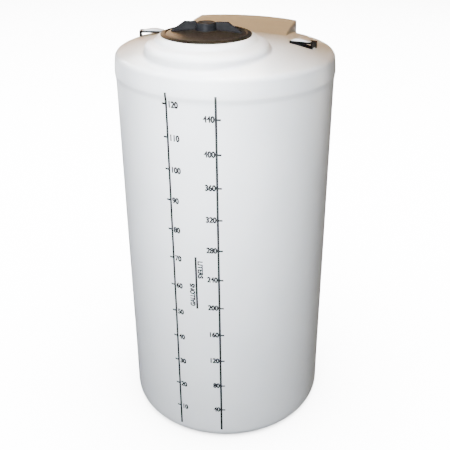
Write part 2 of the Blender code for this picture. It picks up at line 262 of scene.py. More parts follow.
def prism(place, outline, front, back):
    """A temporary solid: an upright outline drawn out between two depths."""
    points = [place @ Vector((x, front, z)) for x, z in outline]
    points += [place @ Vector((x, back, z)) for x, z in outline]
    count = len(outline)
    faces = [tuple(range(count)), tuple(range(2 * count - 1, count - 1, -1))]
    return mesh_object("cutter", points, faces + wrap_faces(count))


def cut(piece, cutter):
    """Cuts a temporary solid out of a piece."""
    knife = piece.modifiers.new("cut", "BOOLEAN")
    knife.operation = "DIFFERENCE"
    knife.solver = "EXACT"
    knife.object = cutter
    bake_modifiers(piece)
    bpy.data.objects.remove(cutter)


def evaluated_mesh(piece):
    """A new mesh of a piece as its modifiers or its lettering make it."""
    bpy.context.view_layer.update()
    graph = bpy.context.evaluated_depsgraph_get()
    return bpy.data.meshes.new_from_object(piece.evaluated_get(graph))


def bake_modifiers(piece):
    """Turns a piece's modifiers into its mesh."""
    mesh = evaluated_mesh(piece)
    piece.modifiers.clear()
    piece.data = mesh


def soften(piece, width, segments):
    """Rounds the sharp edges of a piece."""
    bevel = piece.modifiers.new("soften", "BEVEL")
    bevel.width = width
    bevel.segments = segments
    bevel.limit_method = "ANGLE"
    bevel.angle_limit = math.radians(35)
    bevel.harden_normals = True


# Surfaces that the pieces share


def roof_height(radius):
    """Height of the roof's outer surface: a dome that bends into the rounded shoulder."""
    if radius > SHOULDER_START:
        past = min(radius - (BROW_RADIUS - SHOULDER), SHOULDER)
        return SKIRT_TOP + math.sqrt(SHOULDER**2 - past**2)
    drop = DOME_TOP - DOME_CURVE * SHOULDER_START**2 - SHOULDER_HEIGHT
    past_rim = max(0, radius - DOME_RIM) / (SHOULDER_START - DOME_RIM)
    return DOME_TOP - DOME_CURVE * radius**2 - drop * past_rim**2


def roof_over(point):
    """Height of the roof's outer surface over a point of the plan."""
    return roof_height(math.hypot(point[0], point[1]))


def outer_radius(height):
    """Radius of the wall's outside, which swells softly into the band under the shoulder."""
    share = clamped((height - BAND_BOTTOM) / (2 * BAND_SWELL) + 0.5)
    swell = (ROOF_RADIUS - WALL_RADIUS) * share**2 * (3 - 2 * share)
    taper = BAND_TAPER * max(0, (height - BAND_BOTTOM) / (SKIRT_TOP - BAND_BOTTOM)) ** 2
    return WALL_RADIUS + swell - taper


def ripple(azimuth, height):
    """How far the moulded wall dips in, so that it isn't a perfect cylinder."""
    fade = clamped((height - RIPPLE_LOW[0]) / RIPPLE_LOW[1])
    fade *= clamped((BAND_BOTTOM - RIPPLE_HIGH[0] - height) / RIPPLE_HIGH[1])
    across = (math.cos(azimuth) * RIPPLE_AROUND, math.sin(azimuth) * RIPPLE_AROUND)
    return RIPPLE * fade * (0.5 + 0.5 * noise.noise(Vector((*across, height * RIPPLE_UP))))


# The moulded shell


def outer_wall_line():
    """(radius, height) of the outside from the floor up to the shoulder's start."""
    line = [(radius, UNDERSIDE) for radius in FLOOR_RINGS]
    line.append((BASE_CENTRE[0] - FLOOR_EDGE[0], FLOOR_EDGE[1]))
    line += arc(BASE_CENTRE, BASE_CORNER, -90, 0, BASE_STEPS)
    low, high = BAND_BOTTOM - BAND_SWELL, BAND_BOTTOM + BAND_SWELL
    heights = spaced(BASE_CORNER, low, WALL_ROWS)[1:]
    heights += spaced(low, high, SWELL_ROWS)[1:]
    heights += spaced(high, SKIRT_TOP, BAND_ROWS)[1:-1]
    line += [(outer_radius(z), z) for z in heights]
    return line + arc(SHOULDER_CENTRE, SHOULDER, 0, 90 - math.degrees(SHOULDER_SLOPE), SHOULDER_STEPS)


def inner_wall_line():
    """(radius, height) of the inside from the shoulder down to the floor."""
    above, below, wall_top = (BAND_BOTTOM + change for change in INNER_BAND)
    inner = WALL_RADIUS - THICKNESS
    slope = 90 - math.degrees(SHOULDER_SLOPE)
    line = arc(SHOULDER_CENTRE, SHOULDER - THICKNESS, slope, 0, INNER_SHOULDER_STEPS)
    line += [(ROOF_RADIUS - THICKNESS, above), (inner, below)]
    line += [(inner, z) for z in spaced(wall_top, BASE_CORNER, INNER_WALL_ROWS)[:-1]]
    line += arc(BASE_CENTRE, BASE_CORNER - THICKNESS, 0, -90, INNER_BASE_STEPS)
    return line + [(radius, THICKNESS + UNDERSIDE) for radius in reversed(FLOOR_RINGS)]


def neck_line(foot):
    """(radius, height) about the manway: from the drum's top up the flared neck and down its bore."""
    return rounded(
        [
            (NECK_RADIUS + NECK_FOOT, foot),
            (NECK_RADIUS, foot, 0.005),
            (NECK_RADIUS - 0.004, NECK_TOP - 0.007, 0.005),
            (NECK_RADIUS - 0.014, NECK_TOP, 0.003),
            (NECK_BORE, NECK_TOP, 0.0015),
            (NECK_BORE, DRUM_TOP - THICKNESS),
        ]
    )


def neck_distance(away):
    """Distance from the drum's centre to the foot of the neck, in one direction."""
    apart = MANWAY - DRUM
    along = apart.dot(away)
    return along + math.sqrt(along**2 - apart.length_squared + (NECK_RADIUS + NECK_FOOT) ** 2)


def rim_distance(away):
    """Distance from the drum's centre to the shoulder's start, in one direction."""
    along = DRUM.dot(away)
    return -along + math.sqrt(along**2 - DRUM.length_squared + SHOULDER_START**2)


def drum_height(radius):
    """Height of the drum's top, which bends down at its rounded edge."""
    past = max(0, radius - DRUM_EDGE_CENTRE[0])
    return DRUM_EDGE_CENTRE[1] + math.sqrt(DRUM_EDGE**2 - past**2)


def drum_fillet(away):
    """A ball that rolls between the roof and the drum gives the fillet, in one direction.
    Returns its radius from the drum's centre, its height, the roof's slope under it, and the angle
    above level at which it touches the drum's rounded edge."""
    radius, slope = DRUM_RADIUS + DRUM_FILLET, 0.0
    for _ in range(FILLET_PASSES):
        touch = radius - DRUM_FILLET * math.sin(slope)
        near = roof_over(DRUM + away * touch)
        slope = math.atan((near - roof_over(DRUM + away * (touch + SLOPE_REACH))) / SLOPE_REACH)
        height = near + DRUM_FILLET * math.cos(slope)
        rise = max(0, height - DRUM_EDGE_CENTRE[1])
        radius = DRUM_EDGE_CENTRE[0] + math.sqrt((DRUM_EDGE + DRUM_FILLET) ** 2 - rise**2)
    return radius, height, slope, math.asin(rise / (DRUM_EDGE + DRUM_FILLET))


def drum_line(away):
    """(radius, height) about the drum's centre, in one direction: from the roof over the fillet,
    up the drum's side and over its rounded edge to the neck's foot."""
    radius, height, slope, lift = drum_fillet(away)
    low, high = 270 - math.degrees(slope), 180 + math.degrees(lift)
    fillet = arc((radius, height), DRUM_FILLET, low, high, FILLET_STEPS)
    side = max(0, DRUM_EDGE_CENTRE[1] - height)
    bend = DRUM_EDGE * (math.pi / 2 - lift)
    edge = []
    for along in spaced(0, side + bend, DRUM_ROWS)[1:]:
        if along < side:
            edge.append((DRUM_RADIUS, height + along))
        else:
            a = lift + (along - side) / DRUM_EDGE
            r = DRUM_EDGE_CENTRE[0] + DRUM_EDGE * math.cos(a)
            edge.append((r, DRUM_EDGE_CENTRE[1] + DRUM_EDGE * math.sin(a)))
    start = neck_distance(away)
    return fillet + [(r, z) if r > start else (start, drum_height(start)) for r, z in edge]


def drum_inside_line(away):
    """(radius, height) about the drum's centre: under its top, out and down its side to the roof."""
    inner = DRUM_RADIUS - THICKNESS
    foot = min(DRUM_EDGE_CENTRE[1] - UNDERSIDE, roof_over(DRUM + away * inner) - THICKNESS)
    return arc(DRUM_EDGE_CENTRE, DRUM_EDGE - THICKNESS, 90, 0, INNER_DRUM_STEPS) + [(inner, foot)]


def across_roof(away, start, end, rows, drop):
    """Points over the roof between two distances from the drum's centre, a drop below its outside."""
    places = [DRUM + away * distance for distance in spaced(start, end, rows)[1:-1]]
    return [Vector((p.x, p.y, roof_over(p) - drop)) for p in places]


def shell_column(angle):
    """One upright line of the shell: up its outside, over the roof, drum and neck, and back inside."""
    away = heading(angle)
    reach = rim_distance(away)
    rim = DRUM + away * reach
    azimuth = math.atan2(rim.y, rim.x)
    out = heading(azimuth)
    drum = drum_line(away)
    inside = drum_inside_line(away)
    column = [out * (r - ripple(azimuth, z)) + up(z) for r, z in outer_wall_line()]
    column += across_roof(away, reach, drum[0][0], ROOF_ROWS, 0)
    column += about(DRUM, away, drum)
    column += about(MANWAY, away, neck_line(drum[-1][1]))
    column += about(DRUM, away, inside)
    column += across_roof(away, inside[-1][0], reach, INNER_ROOF_ROWS, THICKNESS)
    column += [out * r + up(z) for r, z in inner_wall_line()]
    return column


def shell():
    """The tank's one moulding: base, wall, band, shoulder, roof, drum and neck, hollow inside."""
    columns = [shell_column(2 * math.pi * i / COLUMNS) for i in range(COLUMNS)]
    points = [up(UNDERSIDE), up(THICKNESS + UNDERSIDE)]
    for column in columns:
        points += column
    piece = mesh_object("moulded_shell", points, column_faces(COLUMNS, len(columns[0])))
    merge_points(piece)
    white(piece)
    replaced = ["floor_plate", "deck_back", "manway_drum", "manway_neck"]
    replaced += [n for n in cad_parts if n.startswith(("base_rim_", "wall_", "roof_"))]
    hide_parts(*replaced)


# The platform, and the thin foot with which it and the lugs run out onto the roof. The platform's
# edge is fully formed from PLATFORM_FULL_Y on.

PLATFORM_EDGE = 0.006
PLATFORM_FILLET = 0.006
PLATFORM_ACROSS = 60
PLATFORM_ALONG = 44
PLATFORM_DEEP = 0.04
PLATFORM_FULL_Y = PLATFORM_HALF + 0.1
RAMP_BLEND = 0.25
RAMP_SINK = 0.0004
EDGE_STEPS = 5
FOOT_STEPS = 5
FOOT_SINK = 0.0003
FOOT_DEPTH = 0.003


def platform_height(x, y):
    """Height of the platform's top: a gentle ramp off the roof, then flat."""
    foot = roof_over((x, PLATFORM_FOOT_Y)) - RAMP_SINK
    along = (y - PLATFORM_FOOT_Y) / (PLATFORM_RAMP_TOP_Y - PLATFORM_FOOT_Y)
    return foot + (PLATFORM_TOP - foot) * soft_min(along, 1, RAMP_BLEND)


def platform_scale(x, y):
    """How fully the platform's edge and fillet are formed, from nothing at the ramp's foot to 1."""
    rise = platform_height(x, y) - roof_over((x, y))
    return clamped(rise / (PLATFORM_EDGE + PLATFORM_FILLET + 0.001))


def platform_spot(u, v):
    """A plan point of the platform's top inside its rounded edge; u runs across and v to the back."""
    back = PLATFORM_BACK - PLATFORM_EDGE
    y = PLATFORM_FOOT_Y + (back - PLATFORM_FOOT_Y) * v
    scale = platform_scale(u * PLATFORM_HALF, min(y, PLATFORM_FULL_Y))
    x = u * (PLATFORM_HALF - PLATFORM_EDGE * scale)
    y = PLATFORM_FOOT_Y + (math.sqrt(back**2 - x**2) - PLATFORM_FOOT_Y) * v
    return x, y


def platform_loop():
    """The edge of the platform's top as (index in the grid, outward angle), with fans at the corners."""
    row = PLATFORM_ACROSS + 1
    loop = [(i, None) for i in range(row)]
    loop += [(j * row + PLATFORM_ACROSS, 0.0) for j in range(1, PLATFORM_ALONG)]
    last = PLATFORM_ALONG * row
    corner = math.atan2(platform_spot(1, 1)[1], platform_spot(1, 1)[0])
    fan = spaced(0, corner, EDGE_STEPS)[:-1]
    loop += [(last + PLATFORM_ACROSS, angle) for angle in fan]
    for i in range(PLATFORM_ACROSS, -1, -1):
        x, y = platform_spot(2 * i / PLATFORM_ACROSS - 1, 1)
        loop.append((last + i, math.atan2(y, x)))
    loop += [(last, math.pi - angle) for angle in reversed(fan)]
    loop += [(j * row, math.pi) for j in range(PLATFORM_ALONG - 1, 0, -1)]
    return loop


def platform_drop(x, y, angle):
    """Points from one edge point of the top down the rounded edge, the side and the foot's fillet.
    Without an outward angle, at the ramp's foot, there is no edge to round."""
    out = heading(angle) if angle is not None else Vector()
    scale = platform_scale(x, y) if angle is not None else 0
    edge, fillet = PLATFORM_EDGE * scale, PLATFORM_FILLET * scale
    top = Vector((x, y, platform_height(x, y)))
    made = []
    for share in spaced(0, 1, EDGE_STEPS)[1:]:
        a = share * math.pi / 2
        made.append(top + out * (edge * math.sin(a)) - up(edge * (1 - math.cos(a))))
    side = top + out * edge
    foot = roof_over(side)
    far = top + out * (edge + fillet)
    start = Vector((side.x, side.y, min(foot + fillet, made[-1].z)))
    bend = Vector((side.x, side.y, foot))
    end = Vector((far.x, far.y, roof_over(far) - FOOT_SINK))
    made.append((made[-1] + start) / 2)
    made += [curve_point(start, bend, end, share) for share in spaced(0, 1, FOOT_STEPS)]
    made.append(end - up(FOOT_DEPTH))
    return made


def platform():
    """The raised fitting platform, blended into the roof on all sides."""
    points, faces = [], []
    row = PLATFORM_ACROSS + 1
    for j in range(PLATFORM_ALONG + 1):
        for i in range(row):
            x, y = platform_spot(2 * i / PLATFORM_ACROSS - 1, j / PLATFORM_ALONG)
            points.append(Vector((x, y, platform_height(x, y))))
    for j in range(PLATFORM_ALONG):
        for i in range(PLATFORM_ACROSS):
            a = j * row + i
            faces.append((a, a + 1, a + row + 1, a + row))
    lines = []
    for index, angle in platform_loop():
        line = [index]
        for point in platform_drop(points[index].x, points[index].y, angle):
            line.append(len(points))
            points.append(point)
        lines.append(line)
    pairs = list(zip(lines, [*lines[1:], lines[0]]))
    for here, there in pairs:
        for k in range(len(here) - 1):
            corners = [here[k], here[k + 1], there[k + 1], there[k]]
            faces.append(tuple(dict.fromkeys(corners)))
    under = len(points)
    points.append(Vector((0, (PLATFORM_FOOT_Y + PLATFORM_BACK) / 2, PLATFORM_TOP - PLATFORM_DEEP)))
    faces += [(here[-1], under, there[-1]) for here, there in pairs]
    piece = mesh_object("fitting_platform", points, faces)
    merge_points(piece)
    white(piece)
    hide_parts(*[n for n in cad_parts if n.startswith("platform_")])
    return piece


# Tie-down lugs. A pair of HOOD or SLOT values gives the inner end first, then the outer end.
# FRONT_CUT is half the width, the depth and half the height of the block that cuts the hood's
# front flat, and LIP_BEVEL the bevel's width and segments.

LUG_TURN = math.radians(15)
HOOD_LENGTH = (0.047, 0.0365)
HOOD_DEPTH = 0.024
HOOD_HEIGHT = 0.0235
HOOD_ROUND = (0.95, 0.50)
HOOD_FORWARDS = 0.006
HOOD_SINK = 0.003
HOOD_DEEP = 0.014
HOOD_TRIM = 0.005
HOOD_BEND = 1.03
HOOD_SPREAD = 0.008
HOOD_TILT = math.radians(78)
HOOD_COLUMNS = 72
HOOD_ROWS = 15
HOOD_CREASE = math.radians(40)
FRONT_CUT = (0.08, 0.04, 0.05)
SLOT_CUT = 0.06
SLOT_ENDS = (-0.040, 0.034)
SLOT_HEIGHTS = (0.0052, 0.0178)
SLOT_SINK = 0.006
LIP_MIDDLE = 0.016
LIP_INSIDE = 0.0026
LIP_OUTSIDE = 0.0028
LIP_SILL = 0.0016
LIP_PROUD = 0.0040
LIP_BEVEL = (0.0010, 3)
# How far back the black sleeve runs: past the mouth its black lining is painted shade inside the slot.
SLOT_SHADE_SLEEVE_BACK = 0.016


def lug_place(side):
    """Plan centre and turn of a lug, whose lip stands in front of the centre, and its outward sign."""
    outwards = 1 if side == "right" else -1
    turn = -outwards * LUG_TURN
    forwards = Vector((math.sin(turn), -math.cos(turn), 0))
    along = heading(turn) * outwards
    middle = plan_middle(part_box("lug_lip_" + side))
    return middle - forwards * LIP_MIDDLE - along * (sum(SLOT_ENDS) / 2), turn, outwards


def lug_matrix(centre, turn):
    """Takes a lug's own (along, depth, height) to the tank's."""
    return Matrix.Translation(centre) @ Matrix.Rotation(turn, 4, "Z")


def slot_outline(centre, turn, outwards, grow, sunk):
    """(along, height) corners of a strap slot: low at its inner end and taller at its outer end."""
    along = heading(turn) * outwards
    inner, outer = SLOT_ENDS
    near, far = roof_over(centre + along * inner), roof_over(centre + along * outer)
    return [
        (outwards * (inner - grow), near - sunk),
        (outwards * (outer + grow), far - sunk),
        (outwards * (outer + grow), far + SLOT_HEIGHTS[1] + grow),
        (outwards * (inner - grow), near + SLOT_HEIGHTS[0] + grow),
    ]


def hood_line(middle, spin, outwards, angle):
    """One line of the hood's dome, from near its top down to just above the roof."""
    outer = 0.5 + 0.5 * math.cos(angle) * outwards
    length = HOOD_LENGTH[0] + (HOOD_LENGTH[1] - HOOD_LENGTH[0]) * outer
    power = HOOD_ROUND[0] + (HOOD_ROUND[1] - HOOD_ROUND[0]) * outer
    foot = Vector((length * math.cos(angle), HOOD_DEPTH * math.sin(angle), 0))
    line = []
    for tilt in spaced(0, HOOD_TILT, HOOD_ROWS)[1:]:
        point = middle + spin @ foot * math.sin(tilt) ** power
        point.z = roof_over(point) - HOOD_SINK + HOOD_HEIGHT * math.cos(tilt) ** power
        if point.z > roof_over(point) + HOOD_TRIM:
            line.append(point)
    return line + [line[-1]] * (HOOD_ROWS - len(line))


def hood_foot(middle, spin, start, angle):
    """The soft foot below a line of the hood, which spreads out onto the roof."""
    out = spin @ Vector((math.cos(angle) / HOOD_LENGTH[0], math.sin(angle) / HOOD_DEPTH, 0)).normalized()
    bend = middle + (start - middle) * HOOD_BEND
    bend.z = roof_over(bend)
    end = bend + out * HOOD_SPREAD
    end.z = roof_over(end) - FOOT_SINK
    foot = [curve_point(start, bend, end, share) for share in spaced(0, 1, FOOT_STEPS)[1:]]
    return foot + [end - up(FOOT_DEPTH)]


def hood(side):
    """The moulded hood over one strap slot: long and soft at its inner end, blunt at its outer end."""
    centre, turn, outwards = lug_place(side)
    spin = Matrix.Rotation(turn, 3, "Z")
    middle = centre + spin @ Vector((0, -HOOD_FORWARDS, 0))
    ground = roof_over(middle)
    points = [middle + up(ground - HOOD_SINK + HOOD_HEIGHT), middle + up(ground - HOOD_DEEP)]
    for i in range(HOOD_COLUMNS):
        angle = 2 * math.pi * i / HOOD_COLUMNS
        line = hood_line(middle, spin, outwards, angle)
        points += line + hood_foot(middle, spin, line[-1], angle)
    faces = column_faces(HOOD_COLUMNS, HOOD_ROWS + FOOT_STEPS + 1)
    piece = mesh_object("lug_moulding_" + side, points, faces)
    merge_points(piece)
    face = lug_matrix(centre, turn)
    wide, deep, tall = FRONT_CUT
    low, high = ground - tall, ground + tall
    block = [(-wide, low), (wide, low), (wide, high), (-wide, high)]
    cut(piece, prism(face, block, -LIP_MIDDLE - deep, -LIP_MIDDLE))
    slot = slot_outline(centre, turn, outwards, 0, SLOT_SINK)
    cut(piece, prism(face, slot, -SLOT_CUT, SLOT_CUT))
    piece.data.set_sharp_from_angle(angle=HOOD_CREASE)
    white(piece)
    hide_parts("lug_hood_" + side)


def lip(side):
    """The black lip round a slot's mouth: a sleeve through the hood, a little proud of its face. The lip
    at the mouth is black trim; the sleeve's black lining deeper in the slot is painted shade.
    """
    centre, turn, outwards = lug_place(side)
    face = lug_matrix(centre, turn)
    points = []
    for depth in (-LIP_MIDDLE - LIP_PROUD, SLOT_SHADE_SLEEVE_BACK):
        for grow, rise in ((LIP_OUTSIDE, -SLOT_SINK), (-LIP_INSIDE, LIP_SILL)):
            outline = slot_outline(centre, turn, outwards, grow, 0)
            corners = [face @ Vector((x, depth, z)) for x, z in outline]
            for corner in corners[:2]:
                corner.z = roof_over(corner) + rise
            points += corners
    faces = []
    for i in range(4):
        j = (i + 1) % 4
        faces += [(i, j, j + 4, i + 4), (i + 8, i + 12, j + 12, j + 8)]
        faces += [(i, i + 8, j + 8, j), (i + 4, j + 4, j + 12, i + 12)]
    piece = mesh_object("slot_lip_" + side, points, faces)
    soften(piece, *LIP_BEVEL)
    dress(piece, MATERIALS["lip"])
    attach(piece, "tank")
    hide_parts("lug_lip_" + side)


# The lid. The crown falls from the vent cap's flat to its foot by the power CROWN_FALL.

CROWN_FLAT = 0.036
CROWN_RADIUS = 0.119
CROWN_FOOT = 1.3925
CROWN_FALL = 1.15
CROWN_ROWS = 8
CROWN_CUT = 0.004
PLUG_RADIUS = 0.1235
LID_SHEET = 0.007
LID_GAP = 0.0003
RIM_RADIUS = 0.1268
RIM_TOP = 1.3938
RIM_EDGE_TOP = 1.3907
RIM_LAP = 0.0012
LID_STEPS = 160
CAP_STEPS = 96
CAP_SINK = 0.0004
CAP_ROUND_STEPS = 3
GRIP_ANGLE = math.radians(8)
GRIP_SHOULDER = 0.067
GRIP_END = 0.109
GRIP_END_HEIGHT = 0.0036
GRIP_HALF_FOOT, GRIP_HALF_TOP = 0.0056, 0.0040
GRIP_LAP = 0.002
GRIP_SINK = 0.0008
GRIP_ROWS = 6
GRIP_BEVEL = (0.0014, 4)


def crown_height(radius):
    """Height of the crowned lid's top, which falls softly from the vent cap to the rim."""
    out = max(0, radius - CROWN_FLAT) / (CROWN_RADIUS - CROWN_FLAT)
    return LID_TOP - (LID_TOP - CROWN_FOOT) * out**CROWN_FALL


def crowned_lid():
    """The lid's crowned top, over a plug inside the neck."""
    inside = PLUG_RADIUS - THICKNESS
    line = rounded(
        [
            (0, LID_TOP),
            *[(r, crown_height(r), CROWN_CUT) for r in spaced(CROWN_FLAT, CROWN_RADIUS, CROWN_ROWS)],
            (PLUG_RADIUS, CROWN_FOOT - 0.0014, 0.0006),
            (PLUG_RADIUS, LID_FOOT, 0.0012),
            (inside, LID_FOOT, 0.0012),
            (inside, CROWN_FOOT - LID_SHEET, 0.003),
            (CROWN_FLAT, LID_TOP - LID_SHEET, 0.004),
            (0, LID_TOP - LID_SHEET),
        ]
    )
    piece = turned("screw_lid", line, LID_STEPS)
    ride_lid(piece, MATERIALS["lid"])
    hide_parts("lid_plate")


def lid_rim():
    """The rounded black rim round the lid, which rests on the neck. It is darker than the lid's crown:
    painted shade.
    """
    low = NECK_TOP + LID_GAP
    inner = PLUG_RADIUS - RIM_LAP
    line = rounded(
        [
            (inner, low + 0.0004),
            (inner, CROWN_FOOT - 0.0004, 0.0004),
            (RIM_RADIUS - 0.0022, RIM_TOP, 0.0016),
            (RIM_RADIUS, RIM_TOP - 0.0002, 0.0014),
            (LID_RADIUS, RIM_EDGE_TOP, 0.0016),
            (LID_RADIUS, low, 0.0006),
            (inner, low, 0.0002),
        ]
    )
    piece = ring("lid_rim", line, LID_STEPS)
    ride_lid(piece, MATERIALS["rim"])


def vent_cap():
    """The round vent cap, on a low flange, with a shallow dish in its top."""
    foot = LID_TOP - CAP_SINK
    line = rounded(
        [
            (0, CAP_TOP - 0.0012),
            (CAP_RADIUS - 0.0085, CAP_TOP - 0.0012, 0.001),
            (CAP_RADIUS - 0.0070, CAP_TOP, 0.0008),
            (CAP_RADIUS - 0.0030, CAP_TOP - 0.0002, 0.0022),
            (CAP_RADIUS - 0.0006, CAP_TOP - 0.0040, 0.0018),
            (CAP_RADIUS - 0.0002, foot + 0.0060, 0.0012),
            (CAP_RADIUS + 0.0014, foot + 0.0050, 0.0008),
            (CAP_RADIUS + 0.0018, foot, 0.0004),
            (0, foot),
        ],
        CAP_ROUND_STEPS,
    )
    piece = turned("vent_cap_turned", line, CAP_STEPS)
    ride_lid(piece, MATERIALS["cap"])
    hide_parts("vent_cap")


def grip(side, direction):
    """An upright grip: a tapered rib from the cap that falls away towards the rim."""
    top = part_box("grip_" + side)[1].z
    inner = CAP_RADIUS - GRIP_LAP
    outline = [(inner, LID_TOP - GRIP_SINK)]
    outline += [(r, crown_height(r) - GRIP_SINK) for r in spaced(CROWN_FLAT, GRIP_END, GRIP_ROWS)]
    outline.append((GRIP_END - 0.001, crown_height(GRIP_END) + GRIP_END_HEIGHT))
    outline += [(GRIP_SHOULDER, top), (inner, top)]
    points = []
    for sign in (-1, 1):
        for r, z in outline:
            share = (z - CROWN_FOOT) / (top - CROWN_FOOT)
            half = GRIP_HALF_FOOT + (GRIP_HALF_TOP - GRIP_HALF_FOOT) * share
            points.append(Vector((r, sign * half, z)))
    count = len(outline)
    faces = [tuple(reversed(range(count))), tuple(range(count, 2 * count)), *wrap_faces(count)]
    spin = Matrix.Rotation(GRIP_ANGLE + direction, 3, "Z")
    piece = mesh_object("grip_rib_" + side, [MANWAY + spin @ p for p in points], faces)
    soften(piece, *GRIP_BEVEL)
    ride_lid(piece, MATERIALS["grip"])
    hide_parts("grip_" + side)


# The printed scale. Places across are measured along the wall from its front, and a label's place
# from its mark. CAP_SHARE is a capital letter's height as a share of the lettering's size.

GALLON_LINE, LITRE_LINE = -0.0763, 0.0736
SCALE_TOP, SCALE_FOOT = 1.268, 0.041
SCALE_MIDDLE = 0.68
SCALE_LEAN = -0.0054
GALLON_START, GALLON_STEP, GALLON_MARKS = 0.1208, 0.1012, 12
LITRE_START, LITRE_STEP, LITRE_MARKS = 0.1323, 0.1067, 11
GALLONS_A_MARK, LITRES_A_MARK = 10, 40
GALLON_LABEL = (0.0052, -0.0010)
LITRE_LABEL = (-0.0042, 0.0002)
MIDDLE_LINE = (0.551, 0.745)
LINE_WIDTH = 0.0070
TICK_WIDTH = 0.0058
TICK_LENGTH = 0.0108
DIGIT_HEIGHT = 0.0192
DIGIT_NARROW = 0.84
DIGIT_WEIGHT = 0.0015
WORD_HEIGHT = 0.0160
CAP_SHARE = 0.729
INK_PROUD = 0.00022
INK_ROW = 0.005

# Each unit word: the word, its place across and up, its narrowing and its quarter turns
UNIT_WORDS = (
    ("LITERS", 0.0134, 0.700, 1.00, -1),
    ("GALLONS", -0.0134, 0.602, 0.87, 1),
)

# The printed shapes so far
INK_POINTS, INK_FACES = [], []


def wrapped(points, layer):
    """Flat (across, height) points put on the wall's front, a layer's height proud of it."""
    made = []
    for across, height in points:
        angle = (across + SCALE_LEAN * (height - SCALE_MIDDLE)) / WALL_RADIUS
        azimuth = angle - math.pi / 2
        radius = outer_radius(height) - ripple(azimuth, height) + layer
        made.append((radius * math.cos(azimuth), radius * math.sin(azimuth), height))
    return made


def ink_mesh(flat_points, flat_faces):
    """Adds a flat printed shape, as a thin solid, to the scale's lists."""
    first = len(INK_POINTS)
    count = len(flat_points)
    INK_POINTS.extend(wrapped(flat_points, INK_PROUD))
    INK_POINTS.extend(wrapped(flat_points, -INK_PROUD))
    edges = {}  # a dict, because it keeps the order in which the edges come
    for face in flat_faces:
        INK_FACES.append(tuple(first + i for i in face))
        INK_FACES.append(tuple(first + count + i for i in reversed(face)))
        for a, b in zip(face, [*face[1:], face[0]]):
            edges[(a, b)] = True
    for a, b in edges:
        if (b, a) not in edges:
            INK_FACES.append((first + b, first + a, first + count + a, first + count + b))


def ink_bar(x0, x1, z0, z1):
    """A printed bar; a long one is divided so that it follows the wall."""
    rows = max(1, round((z1 - z0) / INK_ROW))
    points = []
    for z in spaced(z0, z1, rows):
        points += [(x0, z), ((x0 + x1) / 2, z), (x1, z)]
    faces = []
    for k in range(rows):
        a = 3 * k
        faces += [(a, a + 1, a + 4, a + 3), (a + 1, a + 2, a + 5, a + 4)]
    ink_mesh(points, faces)


def embolden(made, weight):
    """Moves the outline of flat lettering outwards, so that its strokes are heavier."""
    moves = {}
    for edge in made.edges:
        if edge.is_boundary:
            start, end = (v.co for v in edge.verts)
            out = Vector((end.y - start.y, start.x - end.x, 0)).normalized()
            if out.dot(edge.link_faces[0].calc_center_median() - start) > 0:
                out = -out
            for vertex in edge.verts:
                moves[vertex] = moves.get(vertex, Vector()) + out
    for vertex, move in moves.items():
        vertex.co += move.normalized() * weight


def ink_text(text, x, z, height, narrow, turn, align):
    """Printed lettering, turned by quarter turns, whose anchor is at (x, z)."""
    curve = bpy.data.curves.new("lettering", "FONT")
    curve.body = text
    curve.size = height / CAP_SHARE
    curve.align_x = align
    curve.align_y = "CENTER"
    curve.resolution_u = 5
    holder = bpy.data.objects.new("lettering", curve)
    bpy.context.scene.collection.objects.link(holder)
    made = bmesh.new()
    made.from_mesh(evaluated_mesh(holder))
    bmesh.ops.remove_doubles(made, verts=made.verts, dist=0.000001)
    for vertex in made.verts:
        vertex.co.x *= narrow
    embolden(made, DIGIT_WEIGHT)
    spin = Matrix.Rotation(math.radians(90 * turn), 2)
    points = []
    for vertex in made.verts:
        flat = spin @ vertex.co.to_2d()
        points.append((x + flat.x, z + flat.y))
    made.verts.index_update()
    faces = [tuple(v.index for v in face.verts) for face in made.faces]
    made.free()
    bpy.data.objects.remove(holder)
    ink_mesh(points, faces)


def scale():
    """The volume scale: a line of gallons, a line of litres, and the units between them."""
    half, tick = LINE_WIDTH / 2, TICK_WIDTH / 2
    for line in (GALLON_LINE, LITRE_LINE):
        ink_bar(line - half, line + half, SCALE_FOOT, SCALE_TOP)
    for k in range(GALLON_MARKS):
        x, z = GALLON_LINE, GALLON_START + GALLON_STEP * k
        ink_bar(x - half - TICK_LENGTH, x - half, z - tick, z + tick)
        number, place = str(GALLONS_A_MARK * (k + 1)), (x + GALLON_LABEL[0], z + GALLON_LABEL[1])
        ink_text(number, *place, DIGIT_HEIGHT, DIGIT_NARROW, 0, "LEFT")
    for k in range(LITRE_MARKS):
        x, z = LITRE_LINE, LITRE_START + LITRE_STEP * k
        ink_bar(x + half, x + half + TICK_LENGTH, z - tick, z + tick)
        number, place = str(LITRES_A_MARK * (k + 1)), (x + LITRE_LABEL[0], z + LITRE_LABEL[1])
        ink_text(number, *place, DIGIT_HEIGHT, DIGIT_NARROW, 0, "RIGHT")
    ink_bar(-half, half, *MIDDLE_LINE)
    for word, x, z, narrow, turn in UNIT_WORDS:
        ink_text(word, x, z, WORD_HEIGHT, narrow, turn, "CENTER")
    piece = mesh_object("printed_scale", INK_POINTS, INK_FACES)
    piece.data.shade_flat()
    dress(piece, MATERIALS["ink"])
    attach(piece, "tank")


# Materials


def new_material(name, colour, roughness):
    """A named material; returns it and its shader."""
    made = bpy.data.materials.new(name)
    made.use_nodes = True
    shader = made.node_tree.nodes["Principled BSDF"]
    shader.inputs["Base Color"].default_value = (*colour, 1)
    shader.inputs["Roughness"].default_value = roughness
    shader.inputs["Metallic"].default_value = 0
    return made, shader


def add(material, kind, **values):
    """Adds a node and sets its inputs by name, with underscores for spaces."""
    node = material.node_tree.nodes.new(kind)
    for key, value in values.items():
        node.inputs[key.replace("_", " ")].default_value = value
    return node


def link(material, source, target):
    """Links an output socket to an input socket."""
    material.node_tree.links.new(source, target)


